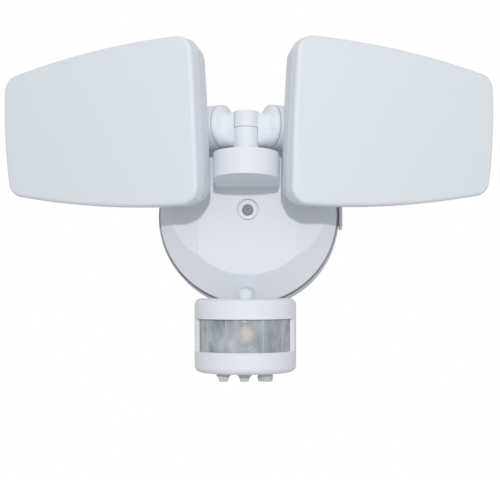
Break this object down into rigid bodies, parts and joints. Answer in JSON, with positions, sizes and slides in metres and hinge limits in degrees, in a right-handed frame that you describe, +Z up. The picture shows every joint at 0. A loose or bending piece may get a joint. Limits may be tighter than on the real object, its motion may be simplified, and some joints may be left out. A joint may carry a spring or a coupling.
{
  "type": "motion sensor security light",
  "caption": "Wall-mounted security light with two panning, tilting lamp heads on a round base and a swivelling motion sensor below.",
  "frame": {"origin": "centre of the wall plate's back face, midway between the two box screw slots", "axes": "+Z up, +X to the right seen from the front, +Y into the wall, -Y out of the wall"},
  "size_m": [0.3268, 0.0981, 0.2161],
  "materials": {
    "white_plastic": "fine satin white",
    "diffuser_plastic": "frosted opal white",
    "foam": "closed-cell foam",
    "seal_rubber": "matt",
    "white_seal": "matt",
    "dark_steel": "blackened",
    "plated_steel": "zinc plated",
    "driver_case": "black case",
    "terminal_plastic": "natural nylon",
    "nut_plastic": "nylon",
    "aluminium_board": "white solder mask",
    "led_phosphor": "phosphor",
    "circuit_board": "green solder mask",
    "dial_plastic": "blue",
    "lens_plastic": "frosted segments",
    "detector_can": "plated can",
    "indicator_red": "clear red"
  },
  "bodies": {
    "base": {"wall_plate": "white_plastic", "wall_gasket": "foam", "cable_grommet": "seal_rubber", "side_clip": "white_plastic", "driver_box": "driver_case", "driver_screws": "plated_steel", "terminal_block": "terminal_plastic", "base_cover": "white_plastic", "cover_gasket": "seal_rubber", "cover_bolt": "dark_steel", "bolt_seal": "white_seal", "head_bracket": "white_plastic", "bracket_screws": "plated_steel", "pivot_bolt": "plated_steel", "pivot_nut": "plated_steel", "sensor_arm": "white_plastic", "sensor_arm_nut": "nut_plastic"},
    "left_arm": {"left_yoke": "white_plastic", "left_tilt_bolt": "plated_steel", "left_tilt_washer": "plated_steel"},
    "right_arm": {"right_yoke": "white_plastic", "right_tilt_bolt": "plated_steel", "right_tilt_washer": "plated_steel", "pivot_cap": "white_plastic"},
    "left_head": {"left_knuckle": "white_plastic", "left_knuckle_plug": "white_plastic", "left_housing": "white_plastic", "left_head_gasket": "white_seal", "left_diffuser": "diffuser_plastic", "left_led_board": "aluminium_board", "left_leds": "led_phosphor", "left_housing_screws": "plated_steel", "left_flange_screws": "plated_steel", "left_board_screws": "plated_steel"},
    "right_head": {"right_knuckle": "white_plastic", "right_knuckle_plug": "white_plastic", "right_housing": "white_plastic", "right_head_gasket": "white_seal", "right_diffuser": "diffuser_plastic", "right_led_board": "aluminium_board", "right_leds": "led_phosphor", "right_housing_screws": "plated_steel", "right_flange_screws": "plated_steel", "right_board_screws": "plated_steel"},
    "sensor_neck": {"sensor_swivel": "white_plastic"},
    "sensor_head": {"sensor_pin": "plated_steel", "sensor_upper_shell": "white_plastic", "sensor_lower_shell": "white_plastic", "sensor_lens": "lens_plastic", "sensor_board": "circuit_board", "pir_detector": "detector_can", "indicator_led": "indicator_red", "dial_board": "circuit_board", "dial_bodies": "dial_plastic", "sensor_screws": "plated_steel"},
    "knob_left": {"knob_left": "white_plastic"},
    "knob_middle": {"knob_middle": "white_plastic"},
    "knob_right": {"knob_right": "white_plastic"}
  },
  "joints": [
    {"name": "left_pan", "type": "hinge", "parent": "base", "child": "left_arm", "pos_m": [0, -0.06, 0.0524], "axis": [0, 0, 1], "range_deg": [-1, 38]},
    {"name": "right_pan", "type": "hinge", "parent": "base", "child": "right_arm", "pos_m": [0, -0.06, 0.0524], "axis": [0, 0, -1], "range_deg": [-1, 38]},
    {"name": "left_tilt", "type": "hinge", "parent": "left_arm", "child": "left_head", "pos_m": [0, -0.06, 0.0524], "axis": [-0.9063, 0.4226, 0], "range_deg": [-6, 38]},
    {"name": "right_tilt", "type": "hinge", "parent": "right_arm", "child": "right_head", "pos_m": [0, -0.06, 0.0524], "axis": [-0.9063, -0.4226, 0], "range_deg": [-6, 38]},
    {"name": "sensor_pan", "type": "hinge", "parent": "base", "child": "sensor_neck", "pos_m": [0, -0.066, -0.069], "axis": [0, 0, 1], "range_deg": [-40, 40]},
    {"name": "sensor_tilt", "type": "hinge", "parent": "sensor_neck", "child": "sensor_head", "pos_m": [0, -0.066, -0.069], "axis": [1, 0, 0], "range_deg": [-20, 8]},
    {"name": "knob_left_turn", "type": "hinge", "parent": "sensor_head", "child": "knob_left", "pos_m": [-0.0128, -0.07707, -0.10717], "axis": [0, 0.1045, -0.9945], "range_deg": [-135, 135]},
    {"name": "knob_middle_turn", "type": "hinge", "parent": "sensor_head", "child": "knob_middle", "pos_m": [0, -0.07707, -0.10717], "axis": [0, 0.1045, -0.9945], "range_deg": [-135, 135]},
    {"name": "knob_right_turn", "type": "hinge", "parent": "sensor_head", "child": "knob_right", "pos_m": [0.0128, -0.07707, -0.10717], "axis": [0, 0.1045, -0.9945], "range_deg": [-135, 135]}
  ]
}
